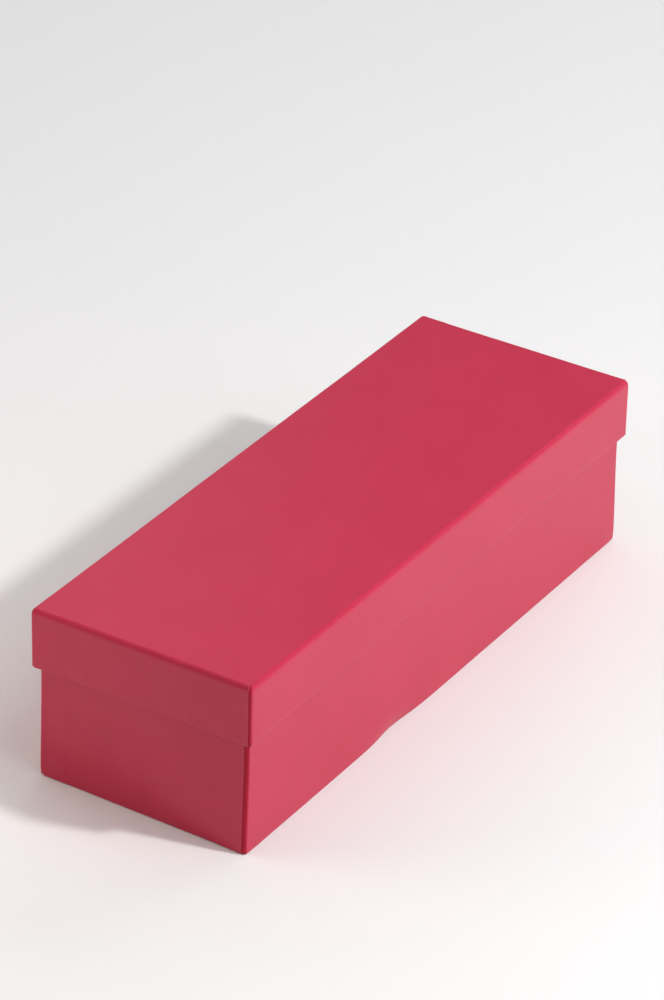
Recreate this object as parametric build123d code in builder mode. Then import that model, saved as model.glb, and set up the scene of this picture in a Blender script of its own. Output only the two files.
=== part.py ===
"""Two-piece rigid gift box: a deep tray and a shallow lift-off lid, both of paper-wrapped greyboard.

Each half is built the same way, on its flat panel. A scored greyboard blank is folded up into four
walls, a paper stay tapes each butted corner, one sheet of cover paper wraps the outside and turns in
over the rim, and one sheet of lining paper covers the inside. The lid is a half turned upside down.

The frame: +Z up, +X along the length, origin at the middle of the underside. Millimetres.
"""

import os
from dataclasses import dataclass

from build123d import *

# What the box holds.
inside_length = 274.0  # between the lined end walls of the tray
inside_width = 91.0  # between its lined long walls
inside_depth = 72.5  # from its lined floor to its rim

# The lid.
skirt_height = 26.0  # outside height of the lid
lid_clearance = 0.4  # play between the tray and the lining of the lid, on each side

# The sheets.
board = 1.5  # greyboard
paper = 0.15  # cover paper
lining = 0.12  # lining paper
tape = 0.1  # corner stay

# The greyboard blanks.
score_depth = 0.75  # half-cut on the outside of each fold, which opens into a notch
corner_kerf = 0.2  # gap where an end wall butts against a long wall
board_corner = 0.6  # pressed radius of an upright corner

# The corner stays.
stay_leg = 11.0  # reach of a stay along each wall
stay_inset = 1.0  # bare board above and below a stay

# The cover papers.
fold_radius = 0.6  # inside radius where the paper bridges a scored fold
flap_setback = 1.2  # the cut edge of an end flap stands this far from the corner
tray_turn_in = 20.0  # depth of paper folded in over the rim of the tray
lid_turn_in = 15.0  # the same on the lid

# The linings.
tray_lining_margin = 5.0  # band of cover paper left bare inside the rim of the tray
lid_lining_margin = 4.0  # the same on the lid

wall_lining = paper + lining  # a wall carries its turn-in, then its lining
long_wall_cover = tape + paper  # outside a long wall: the stay, then the paper
end_wall_cover = long_wall_cover + paper  # outside an end wall: one more layer, the end flap


@dataclass
class Half:
    """A tray or lid, seen standing on the outside face of its panel with its walls pointing up."""

    name: str
    plane: Plane  # the outside face of the wrapped panel
    lined_length: float
    lined_width: float
    height: float
    turn_in: float
    lining_margin: float

    @property
    def inner(self):
        """Length and width between the bare inside faces of the board walls."""
        return self.lined_length + 2 * wall_lining, self.lined_width + 2 * wall_lining

    @property
    def blank(self):
        """Length and width over the outside of the folded board."""
        length, width = self.inner
        return length + 2 * board, width + 2 * board

    @property
    def mouth(self):
        """Length and width between the turned-in papers."""
        length, width = self.inner
        return length - 2 * paper, width - 2 * paper

    @property
    def outer(self):
        """Length over the end flaps and width over the covered long walls."""
        length, width = self.blank
        return length + 2 * end_wall_cover, width + 2 * long_wall_cover

    @property
    def side(self):
        """The plane across the middle, with the length along X and the height along Y."""
        return Plane(self.plane.origin, x_dir=self.plane.x_dir, z_dir=-self.plane.y_dir)

    @property
    def board_top(self):
        return self.height - paper

    def at(self, height):
        """The plane this far above the outside face of the panel."""
        return self.plane.offset(height)


tray_height = paper + board + lining + inside_depth
total_height = tray_height + lining + board + paper

tray = Half(
    name="tray",
    plane=Plane.XY,
    lined_length=inside_length,
    lined_width=inside_width,
    height=tray_height,
    turn_in=tray_turn_in,
    lining_margin=tray_lining_margin,
)
lid = Half(
    name="lid",
    plane=Plane((0, 0, total_height), x_dir=(1, 0, 0), z_dir=(0, 0, -1)),
    lined_length=tray.outer[0] + 2 * lid_clearance,
    lined_width=tray.outer[1] + 2 * lid_clearance,
    height=skirt_height,
    turn_in=lid_turn_in,
    lining_margin=lid_lining_margin,
)


def panel_edges(part, half):
    """The edges round the panel face of a half's block, where the walls fold up."""
    return part.faces().sort_by(Axis(half.plane.origin, half.plane.z_dir))[0].edges()


def make_board(half):
    """The scored blank, folded up: one piece, with its walls parted from each other at the corners."""
    length, width = half.blank
    with BuildPart() as folded:
        with BuildSketch(half.at(paper)):
            RectangleRounded(length, width, board_corner)
        extrude(amount=half.board_top - paper)
        with BuildSketch(half.at(paper + board)):
            Rectangle(*half.inner)
        extrude(amount=half.board_top - paper - board, mode=Mode.SUBTRACT)
        with BuildSketch(half.at(paper)):
            Rectangle(length, width)
            Rectangle(length - 2 * score_depth, width - 2 * score_depth, mode=Mode.SUBTRACT)
        extrude(amount=score_depth, mode=Mode.SUBTRACT)
        with BuildSketch(half.at(paper + board)):
            with GridLocations(length - board, half.inner[1] - corner_kerf, 2, 2):
                Rectangle(2 * board, corner_kerf)
        extrude(amount=half.board_top - paper - board, mode=Mode.SUBTRACT)
    return folded.part


def make_stay(half, side_x, side_y):
    """The paper tape folded round one upright corner of the board."""
    length, width = half.blank
    reach = stay_leg + tape
    corner = (side_x * (length / 2 + tape - reach / 2), side_y * (width / 2 + tape - reach / 2))
    bottom = paper + score_depth + stay_inset
    with BuildPart() as stay:
        with BuildSketch(half.at(bottom)):
            RectangleRounded(length + 2 * tape, width + 2 * tape, board_corner + tape)
            RectangleRounded(length, width, board_corner, mode=Mode.SUBTRACT)
            with Locations(corner):
                Rectangle(reach, reach, mode=Mode.INTERSECT)
        extrude(amount=half.board_top - stay_inset - bottom)
    return stay.part


def make_core(half):
    """The solid block that the cover paper is folded round."""
    with BuildPart() as core:
        with BuildSketch(half.at(paper)):
            RectangleRounded(*half.blank, board_corner)
        extrude(amount=half.board_top - paper)
        fillet(panel_edges(core, half), fold_radius)
    return core.part


def make_turn_in(half):
    """The ring of cover paper that hangs inside the walls, from the rim down."""
    with BuildPart() as ring:
        with BuildSketch(half.at(half.height - half.turn_in)):
            Rectangle(*half.inner)
            Rectangle(*half.mouth, mode=Mode.SUBTRACT)
        extrude(amount=half.turn_in - paper)
    return ring.part


def make_wrap(half, stays):
    """The cover paper: panel, walls, ears round the corners, end flaps over the ears, and turn-in."""
    ear_length = half.blank[0] + 2 * long_wall_cover
    flap_length, wrap_width = half.outer
    corner_radius = board_corner + long_wall_cover
    core = make_core(half)
    turn_in = make_turn_in(half)
    with BuildPart() as wrap:
        with BuildSketch(half.at(0)):
            RectangleRounded(ear_length, wrap_width, corner_radius)
        extrude(amount=half.height)
        fillet(panel_edges(wrap, half), fold_radius + paper)
        with BuildSketch(half.side) as flap_profile:
            with Locations((0, half.height / 2)):
                Rectangle(flap_length, half.height)
            fillet(flap_profile.vertices().group_by(Axis.Y)[0], fold_radius + 2 * paper)
        extrude(amount=wrap_width / 2 - flap_setback, both=True)
        add(core, mode=Mode.SUBTRACT)
        with BuildSketch(half.at(half.board_top)):
            Rectangle(*half.mouth)
        extrude(amount=paper, mode=Mode.SUBTRACT)
        add(turn_in)
        for stay in stays:
            add(stay, mode=Mode.SUBTRACT)
    return wrap.part


def make_lining(half):
    """The lining paper: it covers the panel, and the walls up to a margin below the rim."""
    bottom = paper + board
    top = half.height - half.lining_margin
    turn_in = make_turn_in(half)
    with BuildPart() as sheet:
        with BuildSketch(half.at(bottom)):
            Rectangle(*half.inner)
        extrude(amount=top - bottom)
        with BuildSketch(half.at(bottom + lining)):
            Rectangle(half.lined_length, half.lined_width)
        extrude(amount=top - bottom - lining, mode=Mode.SUBTRACT)
        add(turn_in, mode=Mode.SUBTRACT)
    return sheet.part


def export(part, name):
    part.label = name
    export_step(part, f"parts/{name}.step")


os.makedirs("parts", exist_ok=True)

for half in (tray, lid):
    flip = half.plane.y_dir.Y  # the lid's own width axis points the other way
    stays = {}
    for end, side_x in (("left", -1), ("right", 1)):
        for face, side_y in (("front", -1), ("back", 1)):
            stays[f"{half.name}_stay_{face}_{end}"] = make_stay(half, side_x, side_y * flip)
    export(make_board(half), f"{half.name}_board")
    export(make_wrap(half, stays.values()), f"{half.name}_wrap")
    export(make_lining(half), f"{half.name}_lining")
    for name, stay in stays.items():
        export(stay, name)

print(f"tray {tray.outer[0]:.2f} x {tray.outer[1]:.2f} x {tray.height:.2f}")
print(f"lid {lid.outer[0]:.2f} x {lid.outer[1]:.2f} x {lid.height:.2f}, box height {total_height:.2f}")
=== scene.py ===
"""Rigid gift box with a lift-off lid.

The sizes, the greyboards and the corner stays come from the packed frame. This add-on folds the cover
paper and the lining paper of the tray and the lid as sheets with a real thickness, presses and wears
the boards to match, gives every paper and board its finish, and sets the box on a pale stage.

The frame: metres, +Z up, +X along the box, -Y the front long side, origin under the middle of the box.
"""

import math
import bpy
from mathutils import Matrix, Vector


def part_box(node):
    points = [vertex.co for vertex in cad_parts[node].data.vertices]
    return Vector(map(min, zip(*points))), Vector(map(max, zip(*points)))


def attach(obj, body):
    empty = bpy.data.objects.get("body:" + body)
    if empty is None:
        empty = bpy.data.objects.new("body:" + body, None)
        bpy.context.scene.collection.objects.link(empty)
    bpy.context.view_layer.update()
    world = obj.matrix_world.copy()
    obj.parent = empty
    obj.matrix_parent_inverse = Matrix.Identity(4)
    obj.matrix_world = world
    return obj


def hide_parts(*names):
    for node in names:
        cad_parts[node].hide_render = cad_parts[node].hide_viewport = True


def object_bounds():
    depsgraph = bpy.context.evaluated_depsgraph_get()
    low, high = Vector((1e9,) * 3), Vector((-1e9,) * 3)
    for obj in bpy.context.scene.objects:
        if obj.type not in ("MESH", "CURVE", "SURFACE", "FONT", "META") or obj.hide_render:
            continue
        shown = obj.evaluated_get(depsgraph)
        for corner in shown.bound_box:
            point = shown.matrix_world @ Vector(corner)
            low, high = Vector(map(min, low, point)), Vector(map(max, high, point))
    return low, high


bl_info = {
    "name": "Rigid Gift Box",
    "version": (1, 0, 0),
    "blender": (4, 5, 0),
    "location": "View3D > Sidebar > Gift Box",
    "description": "Folds the papers of a two-piece gift box over its boards and sets it on a stage",
    "category": "Mesh",
}

from dataclasses import dataclass

import bmesh
import bpy
from bpy.props import FloatProperty, FloatVectorProperty, PointerProperty
from mathutils import Matrix, Vector, noise

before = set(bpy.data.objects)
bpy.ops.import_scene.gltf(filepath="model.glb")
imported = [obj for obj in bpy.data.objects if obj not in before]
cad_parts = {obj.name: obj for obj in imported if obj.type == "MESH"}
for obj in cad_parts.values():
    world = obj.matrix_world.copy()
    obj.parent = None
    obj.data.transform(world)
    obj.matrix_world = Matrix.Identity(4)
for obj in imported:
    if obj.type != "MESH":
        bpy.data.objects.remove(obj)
cad_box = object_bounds()

MM = 0.001
RIGHT_ANGLE = math.pi / 2

DOWN, OUT, UP, IN = -RIGHT_ANGLE, 0.0, RIGHT_ANGLE, 2 * RIGHT_ANGLE  # the ways a sheet can face


# Settings


def length(name, description, default):
    """A property that holds a size in metres."""
    return FloatProperty(name=name, description=description, default=default, unit="LENGTH", precision=5)


def colour(name, description, default):
    """A property that holds a linear colour."""
    return FloatVectorProperty(
        name=name, description=description, default=default, subtype="COLOR", min=0, max=1
    )


class GiftBoxPapers(bpy.types.PropertyGroup):
    """How the papers are cut and folded."""

    cover: length("Cover Paper", "Thickness of the cover paper", 0.15 * MM)
    lining: length("Lining Paper", "Thickness of the lining paper", 0.12 * MM)
    tray_fold: length("Tray Fold", "Reach of the fold round the tray in over its panel", 0.9 * MM)
    tray_drop: length("Tray Fold Drop", "Reach of the same fold up the walls", 1.2 * MM)
    lid_fold: length("Lid Fold", "Reach of the fold round the lid in over its panel", 1.6 * MM)
    lid_drop: length("Lid Fold Drop", "Reach of the same fold down the walls", 3.0 * MM)
    upright_fold: length("Upright Fold", "Radius of an upright corner and of a lining's foot", 0.9 * MM)
    rim_fold: length("Rim Fold", "Radius of the paper on each side of a rim", 0.5 * MM)
    inside_fold: length("Inside Fold", "Radius in the upright corners inside", 0.5 * MM)
    tray_turn_in: length("Tray Turn-In", "Cover paper folded in over the rim of the tray", 20 * MM)
    lid_turn_in: length("Lid Turn-In", "Cover paper folded in over the rim of the lid", 15 * MM)
    tray_setback: length("Tray Flap Setback", "From a corner to the cut edge of a tray end flap", 2.1 * MM)
    lid_setback: length("Lid Flap Setback", "From a corner to the cut edge of a lid end flap", 1.4 * MM)
    flap_curl: length("Flap Curl", "How far the cut edge of an end flap lifts", 0.16 * MM)
    pocket: length("Ear Pocket", "Depth of the pocket where an ear slips under the fold", 0.35 * MM)
    ear: length("Ear", "Reach of the ear of cover paper under an end flap", 12 * MM)
    stay: length("Corner Stay", "Reach of a corner stay under the cover paper", 11 * MM)
    stay_step: length("Stay Step", "Height of a corner stay as it shows through the paper", 0.03 * MM)


class GiftBoxShape(bpy.types.PropertyGroup):
    """How the made box strays from a perfect one."""

    wave: length("Wave", "Height of the slow waves in a glued paper", 0.09 * MM)
    wave_length: length("Wave Length", "Length of the slow waves in a glued paper", 55 * MM)
    ripple: length("Ripple", "Height of the short ripples in a glued paper", 0.018 * MM)
    ripple_length: length("Ripple Length", "Length of the short ripples in a glued paper", 11 * MM)
    splay: FloatVectorProperty(
        name="Splay",
        description="How far the foot of the tray stands out: left, right, front and back",
        default=(1.1 * MM, 0.6 * MM, 0.5 * MM, 0.6 * MM),
        size=4,
        unit="LENGTH",
        precision=5,
    )
    twist: FloatProperty(
        name="Twist",
        description="Share by which the left foot stands out more at the front",
        default=0.8,
        subtype="FACTOR",
        min=0,
        max=1,
    )
    splay_height: length("Splay Height", "Height at which the walls of the tray stand true again", 47 * MM)
    dent_depth: length("Dent Depth", "Depth of the knock in the front foot of the tray", 1.15 * MM)
    dent_place: length("Dent Place", "Place of the knock along the box", -35 * MM)
    dent_left: length("Dent Left", "Reach of the knock to the left", 11 * MM)
    dent_right: length("Dent Right", "Reach of the knock to the right", 15 * MM)
    dent_height: length("Dent Height", "Height of the knock", 4 * MM)
    blunting: length("Blunting", "How far the foot corners of the tray are worn back", 0.15 * MM)
    tuck: length("Loose Tuck", "How far the loose paper stands out at the back left foot", 0.15 * MM)
    tuck_height: length("Loose Tuck Height", "Height of the loose paper at the back left foot", 6 * MM)


class GiftBoxFinish(bpy.types.PropertyGroup):
    """The colours of the papers and boards."""

    cover_light: colour("Cover Light", "Cover paper, the lighter fibres", (0.505, 0.024, 0.067))
    cover_deep: colour("Cover Deep", "Cover paper, the deeper fibres", (0.465, 0.019, 0.056))
    # Painted shade: the deeper red of the front ears, which lie recessed in shade beside the end flaps.
    cover_ear_shade: colour("Cover Fold", "Cover paper where a fold has pressed it", (0.45, 0.012, 0.030))
    cover_core: colour("Cover Core", "Cut edge of the cover paper", (0.56, 0.10, 0.14))
    lining_light: colour("Lining Light", "Lining paper, the lighter fibres", (0.84, 0.81, 0.76))
    lining_deep: colour("Lining Deep", "Lining paper, the deeper fibres", (0.74, 0.70, 0.64))
    board_light: colour("Greyboard Light", "Greyboard, the lighter pulp", (0.46, 0.43, 0.39))
    board_deep: colour("Greyboard Deep", "Greyboard, the deeper pulp", (0.30, 0.28, 0.25))
    board_fleck: colour("Greyboard Fleck", "Dark flecks in the greyboard", (0.08, 0.075, 0.09))
    stay_light: colour("Kraft Light", "Kraft tape, the lighter fibres", (0.55, 0.37, 0.21))
    stay_deep: colour("Kraft Deep", "Kraft tape, the deeper fibres", (0.38, 0.23, 0.12))


class GiftBoxStage(bpy.types.PropertyGroup):
    """The floor, the lights and the camera."""

    floor: colour("Floor", "Colour of the floor", (0.81, 0.805, 0.805))
    floor_size: length("Floor Size", "Length of a side of the floor", 12.0)
    key_place: FloatVectorProperty(
        name="Key Place",
        description="Place of the key light",
        default=(0.173, -1.063, 0.998),
        subtype="TRANSLATION",
        unit="LENGTH",
    )
    key_size: length("Key Size", "Diameter of the key light", 0.115)
    key_power: FloatProperty(
        name="Key Power", description="Power of the key light", default=13.4, unit="POWER"
    )
    fill_level: FloatProperty(
        name="Fill Level",
        description="Share of their power that the fill lights give",
        default=1.0,
        subtype="FACTOR",
        min=0,
        max=1,
    )
    room: colour("Room", "Even light from all round", (0.2, 0.2, 0.203))
    aim: FloatVectorProperty(
        name="Aim",
        description="The point that the camera looks at",
        default=(0.0454, 0.0327, 0.038),
        subtype="TRANSLATION",
        unit="LENGTH",
    )
    distance: length("Distance", "From the camera to the point it looks at", 2.0139)
    azimuth: FloatProperty(
        name="Azimuth", description="Way round the box", default=math.radians(-58.354), unit="ROTATION"
    )
    elevation: FloatProperty(
        name="Elevation", description="Height of the view", default=math.radians(30.583), unit="ROTATION"
    )
    roll: FloatProperty(
        name="Roll", description="Tilt of the camera", default=math.radians(1.414), unit="ROTATION"
    )
    lens: FloatProperty(name="Lens", description="Focal length", default=177.8, unit="CAMERA")


SETTINGS = {
    "gift_box_papers": GiftBoxPapers,
    "gift_box_shape": GiftBoxShape,
    "gift_box_finish": GiftBoxFinish,
    "gift_box_stage": GiftBoxStage,
}


# The halves of the box


@dataclass(frozen=True)
class Half:
    """The tray or the lid, standing on the outside of its panel with its walls up."""

    name: str
    reach: tuple  # from the middle to an ear, and from the middle to a long wall
    height: float
    corner: float  # radius of its upright corners
    board_face: float  # from the outside to the inside face of the board walls
    panel_face: float  # from the outside to the inside face of the board panel
    board_gap: float  # from the outside to the outside face of the board walls
    lining_margin: float  # bare cover paper between the rim and the lining
    turn_in: float
    fold: float  # reach of the fold round the panel in over the panel
    drop: float  # and along the walls
    setback: float
    pose: Matrix  # takes it to its place in the closed box

    @property
    def cut(self):
        """From the round of an upright corner to the cut edge of an end flap."""
        return self.setback - self.corner

    @property
    def front(self):
        """The side on its own Y that ends up at the front of the box."""
        return -self.pose[1][1]


def read_half(name, papers):
    """Measures a half on its nodes in the frame."""
    low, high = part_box(f"{name}_wrap")
    lining_low, lining_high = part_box(f"{name}_lining")
    below, above = lining_low.z - low.z, high.z - lining_high.z
    upside_down = name == "lid"
    flipped = Matrix.Translation((0, 0, high.z)) @ Matrix.Rotation(math.pi, 4, "X")
    ear_face = high.x - papers.cover
    return Half(
        name=name,
        reach=(ear_face, high.y),
        height=high.z - low.z,
        corner=papers.upright_fold,
        board_face=ear_face - lining_high.x,
        panel_face=above if upside_down else below,
        board_gap=ear_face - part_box(f"{name}_board")[1].x,
        lining_margin=below if upside_down else above,
        turn_in=getattr(papers, f"{name}_turn_in"),
        fold=getattr(papers, f"{name}_fold"),
        drop=getattr(papers, f"{name}_drop"),
        setback=getattr(papers, f"{name}_setback"),
        pose=flipped if upside_down else Matrix.Identity(4),
    )


def both_halves(papers):
    """The tray and the lid."""
    return read_half("tray", papers), read_half("lid", papers)


# Folded sheets


@dataclass(frozen=True)
class Column:
    """A line across a sheet, from its cut edge near the rim to the edge of its panel."""

    share: tuple  # of the way from the middle to the corner, on x and on y
    turn: float  # the way its wall faces, round from +X
    from_corner: float  # along the wall
    on_end: bool
    on_flap: bool


@dataclass(frozen=True)
class Row:
    """A line round a sheet."""

    inset: float  # in from the outer face
    height: float
    tilt: float  # the way the sheet faces, from DOWN to IN
    corner: float  # radius of its four corners


def blend(low, high, value):
    """0 below low, 1 above high, and an even curve between them."""
    share = min(max((value - low) / (high - low), 0.0), 1.0)
    return share * share * (3 - 2 * share)


def bump(value, middle, reach):
    """1 in the middle, falling away evenly on both sides."""
    return math.exp(-(((value - middle) / reach) ** 2))


def spread(start, end, spacing):
    """Even steps from start to end, both included, no longer than the spacing."""
    count = max(1, math.ceil(abs(end - start) / spacing))
    return [start + (end - start) * step / count for step in range(count + 1)]


def wall_stops(reach, near_corner, spacing):
    """Places along a wall, from one corner to the other, close together near the corners."""
    middle = reach - near_corner[-1]
    one_side = [reach - distance for distance in near_corner[:-1]] + spread(middle, 0.0, spacing)
    return sorted({-place for place in one_side} | set(one_side))


# How finely a sheet is divided.
COLUMN_SPACING = 3 * MM
ROW_SPACING = 3 * MM
CORNER_STEPS = 8
FOLD_STEPS = 10
RIM_STEPS = 5
SHARP_EDGE = math.radians(32)
MERGE = 0.001 * MM

# How one sheet steps over the next.
CUT_WIDTH = 0.02 * MM  # ground that the upright face of a cut edge takes
CUT_REACH = 0.1 * MM  # a column this near to a cut edge is marked as freshly cut
FOLD_RISE = 0.6 * RIGHT_ANGLE  # an end flap sinks into the panel over this last part of the fold
LINER_RISE = 0.2 * RIGHT_ANGLE  # and a flap of the lining into its floor over this one
POCKET_REACH = 0.2 * RIGHT_ANGLE  # reach of the pocket of an ear round the fold
EAR_LEAN = 0.7 * RIGHT_ANGLE  # an ear is marked as far as the paper leans by this
STEP_REACH = 0.6 * MM  # reach of the step in a paper where a stay or an ear under it ends
TURN_IN_STEP = 1.5 * MM  # the lining steps off the cut edge of the turn-in over this height
FLAP_STANDS = 0.3  # share of its thickness that an end flap stands out, inside the rim
EAR_SHOWS = 0.5  # share of its thickness that an ear shows through the end flap over it
LINER_STANDS = 0.5  # share of its thickness that a flap of the lining stands out

# How the cut edges of the end flaps lift.
CURL_REACH = 1.1 * MM  # the cover paper lifts over about this length
LINER_CURL_REACH = 1.0 * MM  # and the lining over this one
LINER_CURL = 0.3  # share of the lift of the cover paper that the lining has
HOLD_REACH = 5 * MM  # the lid starts to hold the flaps of the tray down this far below its rim
HOLD = 0.8  # share of its lift that a held flap loses

# How a glued paper lies.
WAVE_BASE = 0.6  # raises the waves, so that most of them stand out from the board
LINER_WAVE = 0.5  # share of the waves of the cover paper that the lining has
WAVE_SEEDS = {"tray_cover": 4, "lid_cover": 3, "tray_liner": 8, "lid_liner": 6}

# How the tray is worn.
WORN_REACH = 3 * MM  # reach of the wear round a foot corner
WORN_RISE = 0.5  # rise of a worn corner for each step back
KNOCK_WAY = Vector((0, 1.0, 0.3))  # in and a little up
TUCK_WAY = Vector((-0.6, 0.8, 0))  # out to the back and the left
TUCK_PLACE = 0.4  # share of its height at which the loose paper stands out most


def stops_on(half, papers):
    """Shares of the way to the corners at which columns stand, on the long walls and on the end walls."""
    # Close columns carry the bend at a corner, the lifted edge of a flap, and the steps over stay and ear.
    corner = [stop * MM for stop in (0.0, 0.5, 1.5, 3.5, 6.5)]
    flap = [0.0, 0.5 * half.cut, half.cut - 0.16 * MM, half.cut, half.cut + CUT_WIDTH]
    flap += [half.cut + past * MM for past in (0.2, 0.6, 1.4, 3.0, 6.0)]
    steps = [papers.stay + past * MM for past in (-1.0, -0.4, 0.1)]
    steps += [papers.ear + past * MM for past in (-0.3, 0.3, 1.0, 3.0)]
    reach_x, reach_y = (reach - half.corner for reach in half.reach)
    long_stops = wall_stops(reach_x, corner + steps, COLUMN_SPACING)
    end_stops = wall_stops(reach_y, flap + steps, COLUMN_SPACING)
    return [stop / reach_x for stop in long_stops], [stop / reach_y for stop in end_stops]


def columns_round(half, papers):
    """Every column, once round the half: each wall, then the corner after it."""
    shares_x, shares_y = stops_on(half, papers)
    columns = []
    for quarter, outward in enumerate(((0, -1), (1, 0), (0, 1), (-1, 0))):
        onward = (-outward[1], outward[0])
        turn = (quarter - 1) * RIGHT_ANGLE
        on_end = quarter % 2 == 1
        straight = half.reach[1 if on_end else 0] - half.corner
        for share in shares_y if on_end else shares_x:
            place = (outward[0] + onward[0] * share, outward[1] + onward[1] * share)
            from_corner = straight * (1 - abs(share))
            on_flap = on_end and from_corner > half.cut + CUT_WIDTH / 2
            columns.append(Column(place, turn, from_corner, on_end, on_flap))
        corner = (outward[0] + onward[0], outward[1] + onward[1])
        for step in range(1, CORNER_STEPS):
            past_middle = 2 * step > CORNER_STEPS
            angle = turn + RIGHT_ANGLE * step / CORNER_STEPS
            columns.append(Column(corner, angle, 0.0, on_end != past_middle, False))
    return columns


def cover_rows(half, papers):
    """From the cut edge of the turn-in, up inside, over the rim, down outside and round to the panel."""
    rim, fold, drop = papers.rim_fold, half.fold, half.drop
    inner = half.board_face + papers.cover  # from the outside to the turn-in

    def row(inset, height, tilt):
        corner = half.corner + (papers.inside_fold - half.corner) * inset / inner
        return Row(inset, height, tilt, corner)

    def over_rim(middle, start, end):
        for tilt in spread(start, end, RIGHT_ANGLE / RIM_STEPS):
            yield row(middle - rim * math.cos(tilt), half.height - rim + rim * math.sin(tilt), tilt)

    heights = spread(half.height - half.turn_in, half.height - rim, ROW_SPACING)
    rows = [row(inner, height, IN) for height in heights[:-1]]
    rows += [*over_rim(inner - rim, IN, UP), *over_rim(rim, UP, OUT)]
    rows += [row(0.0, height, OUT) for height in spread(half.height - rim, drop, ROW_SPACING)[1:]]
    for angle in spread(OUT, DOWN, RIGHT_ANGLE / FOLD_STEPS)[1:]:
        inset = fold - fold * math.cos(angle)
        tilt = math.atan2(fold * math.sin(angle), drop * math.cos(angle))
        rows.append(Row(inset, drop + drop * math.sin(angle), tilt, half.corner * (1 - inset / fold)))
    return rows


def lining_rows(half, papers):
    """From the cut edge near the rim, down the wall and round to the panel."""
    fold = papers.upright_fold
    inner = half.board_face + papers.lining
    floor = half.panel_face + papers.lining
    step_top = half.height - half.turn_in
    step_foot = step_top - TURN_IN_STEP

    def wall(height):
        over_turn_in = blend(step_foot, step_top, height)
        return Row(inner + papers.cover * over_turn_in, height, IN, papers.inside_fold)

    rows = [wall(height) for height in spread(half.height - half.lining_margin, step_top, ROW_SPACING)]
    rows += [wall(height) for height in spread(step_top, step_foot, TURN_IN_STEP / 4)[1:]]
    rows += [wall(height) for height in spread(step_foot, floor + fold, ROW_SPACING)[1:]]
    for tilt in spread(IN, UP, RIGHT_ANGLE / FOLD_STEPS)[1:]:
        inset = inner + fold + fold * math.cos(tilt)
        height = floor + fold - fold * math.sin(tilt)
        rows.append(Row(inset, height, tilt, papers.inside_fold * -math.cos(tilt)))
    return rows


def facing(column, row):
    """The way a sheet faces at a place."""
    level = math.cos(row.tilt)
    return Vector((level * math.cos(column.turn), level * math.sin(column.turn), math.sin(row.tilt)))


def spot(half, column, row, lift):
    """A point of a sheet, lifted off its ideal face."""
    out = row.corner + lift * math.cos(row.tilt)
    x, y = (share * (reach - row.inset - row.corner) for share, reach in zip(column.share, half.reach))
    height = row.height + lift * math.sin(row.tilt)
    return Vector((x + out * math.cos(column.turn), y + out * math.sin(column.turn), height))


def wave(shape, place, seed):
    """Height of the slow waves and short ripples that the glue leaves in a paper, at a place."""
    slow = noise.noise(place / shape.wave_length + Vector((seed, 0, 0)))
    short = noise.noise(place / shape.ripple_length + Vector((0, seed, 0)))
    return shape.wave * (WAVE_BASE + slow) + shape.ripple * (WAVE_BASE + short)


def unmarked(column, row):
    """Plain paper: not pressed, not freshly cut, and no front ear."""
    return (0.0, 0.0, 0.0)


def fold_sheet(half, papers, rows, lift, stray, thickness, marks, name):
    """A folded sheet: its face and its back, joined round the cut edge.

    The face and the back are both folded over the rows, then closed by a panel at the last row.
    lift(column, row) raises the face, stray(point, column, row) moves face and back together, and
    marks(column, row) says how pressed and how freshly cut the paper is, and if it is a front ear.
    """
    columns = columns_round(half, papers)
    shares_x, shares_y = stops_on(half, papers)
    sheet = bmesh.new()
    marked = sheet.verts.layers.float_vector.new("marks")

    def add_line(along, row, raise_by, mark_by):
        line = []
        for column in along:
            point = spot(half, column, row, raise_by(column, row))
            vertex = sheet.verts.new(point + stray(point, column, row))
            vertex[marked] = mark_by(column, row)
            line.append(vertex)
        return line

    def add_quads(grid, closed):
        for line, following in zip(grid, grid[1:]):
            for here in range(len(line) - (0 if closed else 1)):
                there = (here + 1) % len(line)
                sheet.faces.new((line[here], line[there], following[there], following[here]))

    def add_side(raise_by, mark_by):
        walls = [add_line(columns, row, raise_by, mark_by) for row in rows]
        add_quads(walls, closed=True)
        panel = []
        for share_y in shares_y:
            along = [Column((share_x, share_y), 0.0, 0.0, False, False) for share_x in shares_x]
            panel.append(add_line(along, rows[-1], raise_by, unmarked))
        add_quads(panel, closed=False)
        return walls[0]

    face_edge = add_side(lift, marks)
    back_edge = add_side(lambda column, row: -thickness, unmarked)
    add_quads([face_edge, back_edge], closed=True)

    bmesh.ops.remove_doubles(sheet, verts=sheet.verts, dist=MERGE)
    bmesh.ops.recalc_face_normals(sheet, faces=sheet.faces)
    sheet.transform(half.pose)
    for face in sheet.faces:
        face.smooth = True
    for edge in sheet.edges:
        edge.smooth = edge.calc_face_angle(0.0) < SHARP_EDGE
    return make_piece(sheet, name)


def make_piece(shape, name):
    """Turns a finished shape into an object of the scene."""
    mesh = bpy.data.meshes.new(name)
    shape.to_mesh(mesh)
    shape.free()
    piece = bpy.data.objects.new(name, mesh)
    bpy.context.scene.collection.objects.link(piece)
    return piece


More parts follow.
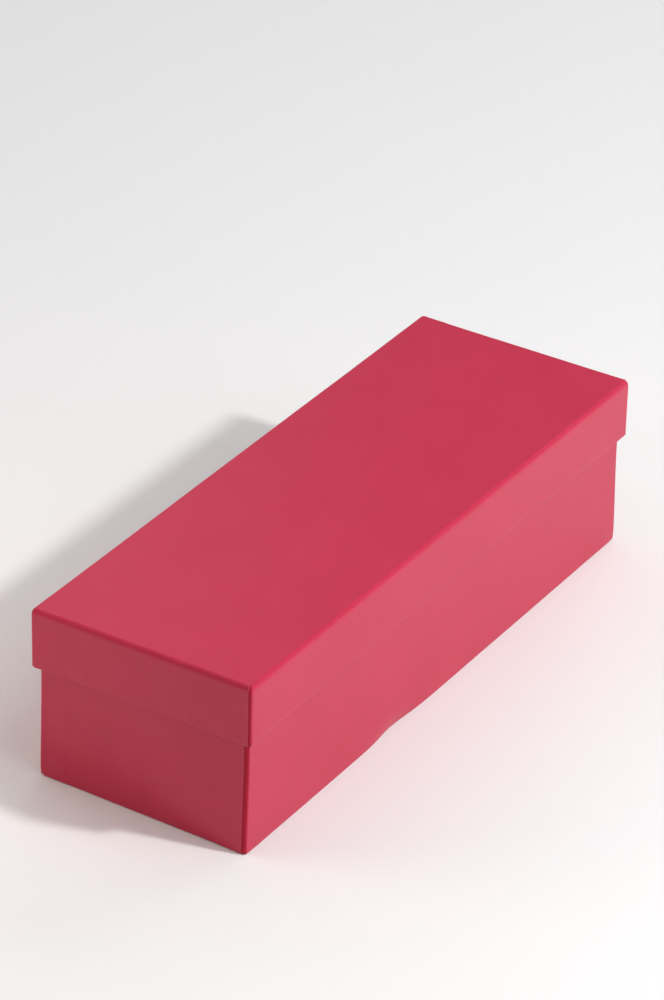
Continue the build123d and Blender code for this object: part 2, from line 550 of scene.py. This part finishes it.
def fold_cover(half, papers, shape):
    """The cover paper: panel, walls, ears, end flaps over the ears, and turn-in."""
    name = f"{half.name}_cover"
    is_tray = half.name == "tray"
    lid_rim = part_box("lid_wrap")[0].z

    def lift(column, row):
        if row.tilt > UP:
            return FLAP_STANDS * papers.cover if column.on_flap else 0.0
        on_wall = blend(DOWN, DOWN + FOLD_RISE, row.tilt)
        past_stay = blend(papers.stay - STEP_REACH, papers.stay + STEP_REACH / 2, column.from_corner)
        sink = papers.stay_step * past_stay
        if not column.on_flap:
            pocket = papers.pocket * bump(row.tilt, DOWN / 2, POCKET_REACH) if column.on_end else 0.0
            return -sink * on_wall - pocket
        past_ear = blend(papers.ear - STEP_REACH, papers.ear + STEP_REACH, column.from_corner)
        sink += EAR_SHOWS * papers.cover * past_ear
        held = HOLD * blend(lid_rim - HOLD_REACH, lid_rim, row.height) if is_tray else 0.0
        curl = papers.flap_curl * (1 - held) * math.exp((half.cut - column.from_corner) / CURL_REACH)
        return (papers.cover + curl - sink) * on_wall

    def stray(point, column, row):
        outside = 1.0 if row.tilt <= OUT else math.cos(row.tilt / 2) ** 2
        if is_tray and row.tilt < OUT:
            outside = math.cos(row.tilt)  # the tray stands flat
        move = facing(column, row) * wave(shape, point, WAVE_SEEDS[name]) * outside
        if is_tray:
            move += tray_wear(half, shape, point) + loose_tuck(half, shape, point)
        return move

    def marks(column, row):
        corner = abs(math.sin(2 * column.turn)) if row.tilt <= OUT else 0.0
        fold = abs(math.sin(2 * row.tilt)) if row.tilt < OUT else max(math.sin(row.tilt), 0.0)
        at_cut = column.on_end and abs(column.from_corner - half.cut) < CUT_REACH
        # The ears on the front are marked for painted shade, the shade that falls in their recess beside the
        # end flaps.
        is_front = column.share[1] * half.front > 0
        is_outside = abs(row.tilt) < EAR_LEAN
        shaded_front_ear = is_front and is_outside and column.on_end and not column.on_flap
        return (max(corner, fold), float(at_cut or row is rows[0]), float(shaded_front_ear))

    rows = cover_rows(half, papers)
    return fold_sheet(half, papers, rows, lift, stray, papers.cover, marks, name)


def tray_wear(half, shape, point):
    """How far a point of the tray has moved: splayed walls, worn foot corners and a knocked front foot."""
    foot = 1 - blend(0.0, shape.splay_height, point.z)
    left, right, front, back = shape.splay
    share_x, share_y = (place / reach for place, reach in zip(point, half.reach))
    along = right if point.x > 0 else left * (1 - shape.twist * share_y)
    across = back if point.y > 0 else front
    splay = Vector((share_x * along, share_y * across, 0))

    side_x, side_y = (math.copysign(1.0, share) for share in (share_x, share_y))
    corner = Vector((side_x * half.reach[0], side_y * half.reach[1], 0))
    worn = shape.blunting * bump((point - corner).length, 0.0, WORN_REACH)
    worn_back = Vector((-side_x, -side_y, WORN_RISE)) * worn

    dent_reach = shape.dent_left if point.x < shape.dent_place else shape.dent_right
    knock = bump(point.x, shape.dent_place, dent_reach) * bump(point.y, -half.reach[1], shape.dent_height)
    knock *= shape.dent_depth * bump(point.z, 0.0, shape.dent_height)
    return splay * foot + worn_back + KNOCK_WAY * knock


def loose_tuck(half, shape, point):
    """How far the cover paper stands off the back left foot corner."""
    middle = Vector((-half.reach[0], half.reach[1], TUCK_PLACE * shape.tuck_height))
    return TUCK_WAY * shape.tuck * bump((point - middle).length, 0.0, shape.tuck_height)


def fold_lining(half, papers, shape):
    """The lining paper: floor and walls, over the turned-in edge of the cover paper."""
    name = f"{half.name}_liner"

    def lift(column, row):
        if not column.on_flap:
            return 0.0
        curl = LINER_CURL * papers.flap_curl * math.exp((half.cut - column.from_corner) / LINER_CURL_REACH)
        return (LINER_STANDS * papers.lining + curl) * blend(UP, UP + LINER_RISE, row.tilt)

    def stray(point, column, row):
        move = facing(column, row) * LINER_WAVE * wave(shape, point, WAVE_SEEDS[name])
        return move + tray_wear(half, shape, point) if half.name == "tray" else move

    def marks(column, row):
        at_cut = column.on_end and abs(column.from_corner - half.cut) < CUT_REACH
        # The first mark, at the foot fold inside, darkens the lining there as painted shade.
        return (abs(math.sin(2 * row.tilt)), float(at_cut or row is rows[0]), 0.0)

    rows = lining_rows(half, papers)
    return fold_sheet(half, papers, rows, lift, stray, papers.lining, marks, name)


# Worn boards and stays


# How finely a board is cut to follow its wear.
FOLD_CUTS = 5
KNOCK_CUT = 2.5 * MM
FOOT_CUT = 1.5 * MM
WALL_CUT = 5 * MM


def press_folds(half, point):
    """Moves a point of a board inside the round fold of the cover paper."""
    for axis, reach in enumerate(half.reach):
        across = abs(point[axis]) - (reach - half.fold)
        down = half.drop - point.z
        from_middle = math.hypot(across / (half.fold - half.board_gap), down / (half.drop - half.board_gap))
        if across > 0 and down > 0 and from_middle > 1:
            point[axis] = math.copysign(reach - half.fold + across / from_middle, point[axis])
            point.z = half.drop - down / from_middle


def cut_places(half, shape):
    """Where a board is cut finer on x, on y and on z, so that it can follow the folds and the wear."""
    fold = spread(0.0, half.fold, half.fold / FOLD_CUTS)[1:]
    drop = spread(0.0, half.drop, half.drop / FOLD_CUTS)[1:]
    near_edges = [[side * (reach - step) for side in (-1, 1) for step in fold] for reach in half.reach]
    if half.name == "lid":
        return [*near_edges, drop]
    left, right = shape.dent_place - 2 * shape.dent_left, shape.dent_place + 2 * shape.dent_right
    foot_top = 3 * shape.dent_height
    foot = spread(half.drop, foot_top, FOOT_CUT)
    wall = spread(foot_top, shape.splay_height, WALL_CUT)
    return [near_edges[0] + spread(left, right, KNOCK_CUT), near_edges[1], drop + foot + wall]


def wear_node(half, shape, node_name, name):
    """A copy of a node that follows the pressed folds and the wear of its half."""
    body = bmesh.new()
    body.from_mesh(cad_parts[node_name].data)
    bmesh.ops.remove_doubles(body, verts=body.verts, dist=MERGE)
    body.transform(half.pose.inverted())
    for axis, places in enumerate(cut_places(half, shape)):
        normal = Vector([float(axis == each) for each in range(3)])
        for place in places:
            parts = [*body.verts, *body.edges, *body.faces]
            bmesh.ops.bisect_plane(body, geom=parts, dist=MERGE, plane_co=normal * place, plane_no=normal)
    bmesh.ops.triangulate(body, faces=body.faces)
    for vertex in body.verts:
        press_folds(half, vertex.co)
        if half.name == "tray":
            vertex.co += tray_wear(half, shape, vertex.co)
    body.transform(half.pose)
    return make_piece(body, name)


# Finishes


class Value:
    """A socket that takes part in sums: each operator adds its Math node."""

    def __init__(self, recipe, socket):
        self.recipe = recipe
        self.socket = socket

    def combine(self, operation, first, second):
        node = self.recipe.node("ShaderNodeMath", {"operation": operation}, {0: first, 1: second})
        return Value(self.recipe, node.outputs["Value"])

    def __add__(self, other):
        return self.combine("ADD", self, other)

    def __radd__(self, other):
        return self.combine("ADD", other, self)

    def __sub__(self, other):
        return self.combine("SUBTRACT", self, other)

    def __rsub__(self, other):
        return self.combine("SUBTRACT", other, self)

    def __mul__(self, other):
        return self.combine("MULTIPLY", self, other)

    def __rmul__(self, other):
        return self.combine("MULTIPLY", other, self)


class Recipe:
    """The nodes of one finish, or of the light in the room."""

    def __init__(self, owner):
        owner.use_nodes = True
        self.tree = owner.node_tree
        self.tree.nodes.clear()

    def node(self, kind, settings=None, inputs=None):
        """Adds a node: its settings are set first, then its sockets take their values or links."""
        node = self.tree.nodes.new(kind)
        for name, setting in (settings or {}).items():
            setattr(node, name, setting)
        for name, entry in (inputs or {}).items():
            if isinstance(entry, Value):
                self.tree.links.new(entry.socket, node.inputs[name])
            else:
                node.inputs[name].default_value = entry
        return node

    def marks(self):
        """How pressed and how freshly cut the paper is here, and if it is a front ear."""
        attribute = self.node("ShaderNodeAttribute", {"attribute_name": "marks"})
        parts = self.node("ShaderNodeSeparateXYZ", None, {"Vector": Value(self, attribute.outputs["Vector"])})
        return [Value(self, part) for part in parts.outputs]

    def noise(self, size, detail=2.0, stretch=(1, 1, 1)):
        """Cloudy noise from 0 to 1 whose clouds are about this size in metres."""
        place = self.node("ShaderNodeTexCoord")
        stretched = self.node(
            "ShaderNodeVectorMath",
            {"operation": "MULTIPLY"},
            {0: Value(self, place.outputs["Object"]), 1: stretch},
        )
        texture = self.node(
            "ShaderNodeTexNoise",
            None,
            {"Vector": Value(self, stretched.outputs["Vector"]), "Scale": 1 / size, "Detail": detail},
        )
        return Value(self, texture.outputs["Fac"])

    def ramp(self, value, low, high):
        """0 below low, 1 above high, and an even curve between them."""
        node = self.node(
            "ShaderNodeMapRange",
            {"interpolation_type": "SMOOTHSTEP"},
            {"Value": value, "From Min": low, "From Max": high},
        )
        return Value(self, node.outputs["Result"])

    def mix(self, share, first, second):
        """One colour turning into another."""
        node = self.node("ShaderNodeMix", {"data_type": "RGBA"}, {"Factor": share, "A": first, "B": second})
        return Value(self, node.outputs["Result"])

    def finish(self, base, roughness, height, depth, **constants):
        """Joins the colour, the roughness and the height of the surface to its shader."""
        bump = self.node("ShaderNodeBump", None, {"Height": height, "Distance": depth})
        inputs = {"Base Color": base, "Roughness": roughness, "Normal": Value(self, bump.outputs["Normal"])}
        inputs |= {name.replace("_", " "): constant for name, constant in constants.items()}
        shader = self.node("ShaderNodeBsdfPrincipled", None, inputs)
        self.node("ShaderNodeOutputMaterial", None, {"Surface": Value(self, shader.outputs["BSDF"])})


def solid(paint):
    """A colour as a socket takes it, with its alpha."""
    return (*paint, 1.0)


def cover_paper(recipe, finish):
    """Dyed cover paper with a low satin sheen, with painted shade deepening the front ears, paler where cut
    or rubbed.
    """
    pressed, freshly_cut, shaded_front_ear = recipe.marks()
    cloud = recipe.noise(26 * MM, 1.0)
    mottle = recipe.noise(5 * MM, 3.0)
    fibre = recipe.noise(0.9 * MM, 2.0, (1, 1, 0.35))
    tooth = recipe.noise(0.28 * MM, 1.0)

    shade = 0.5 + 0.8 * (cloud - 0.5) + 0.7 * (mottle - 0.5) + 0.5 * (fibre - 0.5)
    base = recipe.mix(recipe.ramp(shade, 0.0, 1.0), solid(finish.cover_deep), solid(finish.cover_light))
    # Painted shade: the front ears, recessed in shade beside the end flaps, are turned to a deeper red.
    base = recipe.mix(0.75 * shaded_front_ear, base, solid(finish.cover_ear_shade))
    rubbed = pressed * recipe.ramp(mottle, 0.56, 0.74)
    base = recipe.mix(0.05 * rubbed + 0.35 * freshly_cut, base, solid(finish.cover_core))

    roughness = 0.31 + 0.06 * (mottle - 0.5) + 0.06 * (tooth - 0.5) + 0.4 * freshly_cut + 0.6 * shaded_front_ear
    height = 0.5 * tooth + 0.35 * fibre + 0.4 * mottle
    recipe.finish(base, roughness, height, 0.014 * MM, IOR=1.4)


def lining_paper(recipe, finish):
    """Uncoated lining paper, with painted shade along its foot fold inside."""
    pressed, freshly_cut, _ = recipe.marks()
    cloud = recipe.noise(18 * MM, 2.0)
    fibre = recipe.noise(1.1 * MM, 3.0, (1, 0.3, 1))
    tooth = recipe.noise(0.35 * MM, 2.0)

    # Painted shade: the lining is darker along its foot fold, where the walls meet the floor inside.
    shade = 0.55 + 0.7 * (cloud - 0.5) + 0.8 * (fibre - 0.5) - 0.25 * pressed + 0.3 * freshly_cut
    base = recipe.mix(recipe.ramp(shade, 0.0, 1.0), solid(finish.lining_deep), solid(finish.lining_light))
    roughness = 0.82 + 0.12 * (tooth - 0.5)
    recipe.finish(base, roughness, 0.6 * tooth + 0.6 * fibre + 0.5 * cloud, 0.05 * MM, IOR=1.45)


def greyboard(recipe, finish):
    """Recycled board: cloudy grey pulp with dark flecks."""
    pulp = recipe.noise(3.5 * MM, 4.0)
    fibre = recipe.noise(0.8 * MM, 2.0, (0.3, 1, 1))
    fleck = recipe.ramp(recipe.noise(0.9 * MM, 1.0), 0.70, 0.78)

    shade = 0.5 + 1.2 * (pulp - 0.5) + 0.8 * (fibre - 0.5)
    base = recipe.mix(recipe.ramp(shade, 0.0, 1.0), solid(finish.board_deep), solid(finish.board_light))
    base = recipe.mix(0.7 * fleck, base, solid(finish.board_fleck))
    recipe.finish(base, 0.9 - 0.1 * fibre, pulp + fibre, 0.08 * MM, IOR=1.45)


def stay_tape(recipe, finish):
    """Brown kraft tape with long fibres."""
    cloud = recipe.noise(9 * MM, 2.0)
    fibre = recipe.noise(1.0 * MM, 3.0, (1, 1, 0.2))

    shade = 0.5 + 0.7 * (cloud - 0.5) + 1.2 * (fibre - 0.5)
    base = recipe.mix(recipe.ramp(shade, 0.0, 1.0), solid(finish.stay_deep), solid(finish.stay_light))
    recipe.finish(base, 0.62 + 0.2 * (cloud - 0.5), fibre, 0.06 * MM, IOR=1.45)


def floor_paper(recipe, stage):
    """Pale studio paper."""
    cloud = recipe.noise(0.35, 2.0)
    tooth = recipe.noise(0.8 * MM, 2.0)
    pale = Vector(stage.floor)
    base = recipe.mix(cloud, solid(0.985 * pale), solid(pale))
    recipe.finish(base, 0.75 + 0.1 * (tooth - 0.5), tooth, 0.05 * MM, IOR=1.4)


def give_finish(piece, make, settings):
    """Gives a piece its finish, which every piece of its kind shares."""
    name = f"{make.__name__}_finish"
    material = bpy.data.materials.get(name)
    if material is None:
        material = bpy.data.materials.new(name)
        make(Recipe(material), settings)
    piece.data.materials.clear()
    piece.data.materials.append(material)


# Operators


def place_piece(piece, node_name, half, make, finish):
    """Puts a piece in the place of a node of its half."""
    give_finish(piece, make, finish)
    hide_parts(node_name)
    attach(piece, half.name)


class GIFTBOX_OT_fold_covers(bpy.types.Operator):
    """Folds the cover papers of the tray and the lid"""

    bl_idname = "giftbox.fold_covers"
    bl_label = "Fold the Covers"
    bl_options = {"REGISTER", "UNDO"}

    def execute(self, context):
        scene = context.scene
        for half in both_halves(scene.gift_box_papers):
            cover = fold_cover(half, scene.gift_box_papers, scene.gift_box_shape)
            place_piece(cover, f"{half.name}_wrap", half, cover_paper, scene.gift_box_finish)
        return {"FINISHED"}


class GIFTBOX_OT_fold_linings(bpy.types.Operator):
    """Folds the lining papers of the tray and the lid"""

    bl_idname = "giftbox.fold_linings"
    bl_label = "Fold the Linings"
    bl_options = {"REGISTER", "UNDO"}

    def execute(self, context):
        scene = context.scene
        for half in both_halves(scene.gift_box_papers):
            liner = fold_lining(half, scene.gift_box_papers, scene.gift_box_shape)
            place_piece(liner, f"{half.name}_lining", half, lining_paper, scene.gift_box_finish)
        return {"FINISHED"}


class GIFTBOX_OT_press_boards(bpy.types.Operator):
    """Presses and wears the greyboards of the tray and the lid to match their papers"""

    bl_idname = "giftbox.press_boards"
    bl_label = "Press the Boards"
    bl_options = {"REGISTER", "UNDO"}

    def execute(self, context):
        scene = context.scene
        for half in both_halves(scene.gift_box_papers):
            node_name = f"{half.name}_board"
            board = wear_node(half, scene.gift_box_shape, node_name, f"{half.name}_greyboard")
            place_piece(board, node_name, half, greyboard, scene.gift_box_finish)
        return {"FINISHED"}


class GIFTBOX_OT_tape_corners(bpy.types.Operator):
    """Puts the worn corner stays on the boards of the tray and the lid"""

    bl_idname = "giftbox.tape_corners"
    bl_label = "Tape the Corners"
    bl_options = {"REGISTER", "UNDO"}

    def execute(self, context):
        scene = context.scene
        for half in both_halves(scene.gift_box_papers):
            for node_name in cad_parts:
                if node_name.startswith(f"{half.name}_stay"):
                    name = node_name.replace("stay", "tape")
                    stay = wear_node(half, scene.gift_box_shape, node_name, name)
                    place_piece(stay, node_name, half, stay_tape, scene.gift_box_finish)
        return {"FINISHED"}


class GIFTBOX_OT_set_stage(bpy.types.Operator):
    """Lays the floor and sets up the lights and the camera"""

    bl_idname = "giftbox.set_stage"
    bl_label = "Set the Stage"
    bl_options = {"REGISTER", "UNDO"}

    def execute(self, context):
        stage = context.scene.gift_box_stage
        lay_floor(stage)
        size = stage.key_size
        add_light(Lamp("key_light", stage.key_place, size, size, stage.key_power, is_round=True), 1.0)
        for lamp in FILL_LAMPS:
            add_light(lamp, stage.fill_level)
        light_room(context.scene, stage)
        set_camera(context.scene, stage)
        context.scene.view_settings.view_transform = "Standard"
        return {"FINISHED"}


def lay_floor(stage):
    """A plain floor under the box."""
    floor = bmesh.new()
    bmesh.ops.create_grid(floor, x_segments=8, y_segments=8, size=stage.floor_size / 2)
    piece = make_piece(floor, "floor")
    give_finish(piece, floor_paper, stage)


@dataclass(frozen=True)
class Lamp:
    """A light aimed at the middle of the box."""

    name: str
    place: tuple
    width: float
    height: float
    power: float
    glare: bool = False  # whether glossy faces show its reflection
    colour: tuple = (1.0, 1.0, 1.0)
    is_round: bool = False


FILL_LAMPS = (
    Lamp("top_fill", (0, 0, 3.0), 3.0, 3.0, 4, glare=True),
    Lamp("back_fill", (0, 3.0, 1.6), 3.0, 2.0, 19.5),
    Lamp("right_fill", (3.0, 0, 1.6), 3.0, 2.0, 33),
    Lamp("front_fill", (0, -3.0, 1.6), 3.0, 2.0, 22),
    Lamp("high_front_fill", (0, -1.8, 2.6), 2.0, 2.0, 20),
    Lamp("left_card", (-0.32, 0.3, 0.15), 0.2, 0.2, 0.45, colour=(1.0, 0.85, 0.7)),
    Lamp("back_sheen", (1.27, 1.51, 1.54), 1.2, 1.2, 3.3, glare=True),
    Lamp("right_sheen", (1.8, -0.85, 1.15), 1.4, 1.0, 1.4, glare=True),
    Lamp("left_sheen", (-0.9, 1.1, 1.4), 1.2, 1.2, 1.7, glare=True),
)


def add_light(lamp, share):
    """Adds a lamp at a share of its power, out of the camera's sight and aimed at the box."""
    light = bpy.data.lights.new(lamp.name, "AREA")
    light.shape = "ELLIPSE" if lamp.is_round else "RECTANGLE"
    light.size = lamp.width
    light.size_y = lamp.height
    light.energy = lamp.power * share
    light.color = lamp.colour
    piece = bpy.data.objects.new(lamp.name, light)
    piece.location = lamp.place
    middle = (cad_box[0] + cad_box[1]) / 2
    piece.rotation_euler = (Vector(lamp.place) - middle).to_track_quat("Z", "Y").to_euler()
    piece.visible_camera = False
    piece.visible_glossy = lamp.glare
    bpy.context.scene.collection.objects.link(piece)


def light_room(scene, stage):
    """Even light from all round."""
    scene.world = bpy.data.worlds.new("room")
    recipe = Recipe(scene.world)
    glow = recipe.node("ShaderNodeBackground", None, {"Color": solid(stage.room)})
    recipe.node("ShaderNodeOutputWorld", None, {"Surface": Value(recipe, glow.outputs["Background"])})


def set_camera(scene, stage):
    """The camera, its place worked out from the point it looks at."""
    lens = bpy.data.cameras.new("camera")
    lens.lens = stage.lens
    camera = bpy.data.objects.new("camera", lens)
    turn = Matrix.Rotation(stage.azimuth, 4, "Z")
    tip = Matrix.Rotation(RIGHT_ANGLE - stage.elevation, 4, "X")
    roll = Matrix.Rotation(stage.roll, 4, "Z")
    aimed = turn @ tip
    back = aimed.to_3x3() @ Vector((0, 0, stage.distance))
    camera.matrix_world = Matrix.Translation(Vector(stage.aim) + back) @ aimed @ roll
    scene.collection.objects.link(camera)
    scene.camera = camera


OPERATORS = (
    GIFTBOX_OT_fold_covers,
    GIFTBOX_OT_fold_linings,
    GIFTBOX_OT_press_boards,
    GIFTBOX_OT_tape_corners,
    GIFTBOX_OT_set_stage,
)


class GIFTBOX_PT_pieces(bpy.types.Panel):
    """Shows the operators that make the gift box, and its settings"""

    bl_idname = "GIFTBOX_PT_pieces"
    bl_label = "Gift Box"
    bl_space_type = "VIEW_3D"
    bl_region_type = "UI"
    bl_category = "Gift Box"

    def draw(self, context):
        for operator in OPERATORS:
            self.layout.operator(operator.bl_idname)
        for name, group in SETTINGS.items():
            box = self.layout.box()
            box.label(text=group.__doc__)
            for setting in group.__annotations__:
                box.prop(getattr(context.scene, name), setting)


CLASSES = (*SETTINGS.values(), *OPERATORS, GIFTBOX_PT_pieces)


def register():
    """Gives Blender the classes, and every scene the settings."""
    for each in CLASSES:
        bpy.utils.register_class(each)
    for name, group in SETTINGS.items():
        setattr(bpy.types.Scene, name, PointerProperty(type=group))


def unregister():
    """Takes the settings and the classes away again."""
    for name in SETTINGS:
        delattr(bpy.types.Scene, name)
    for each in reversed(CLASSES):
        bpy.utils.unregister_class(each)


def main():
    """Makes every piece and sets the stage."""
    register()
    bpy.ops.giftbox.fold_covers()
    bpy.ops.giftbox.fold_linings()
    bpy.ops.giftbox.press_boards()
    bpy.ops.giftbox.tape_corners()
    bpy.ops.giftbox.set_stage()


if __name__ == "__main__":
    main()
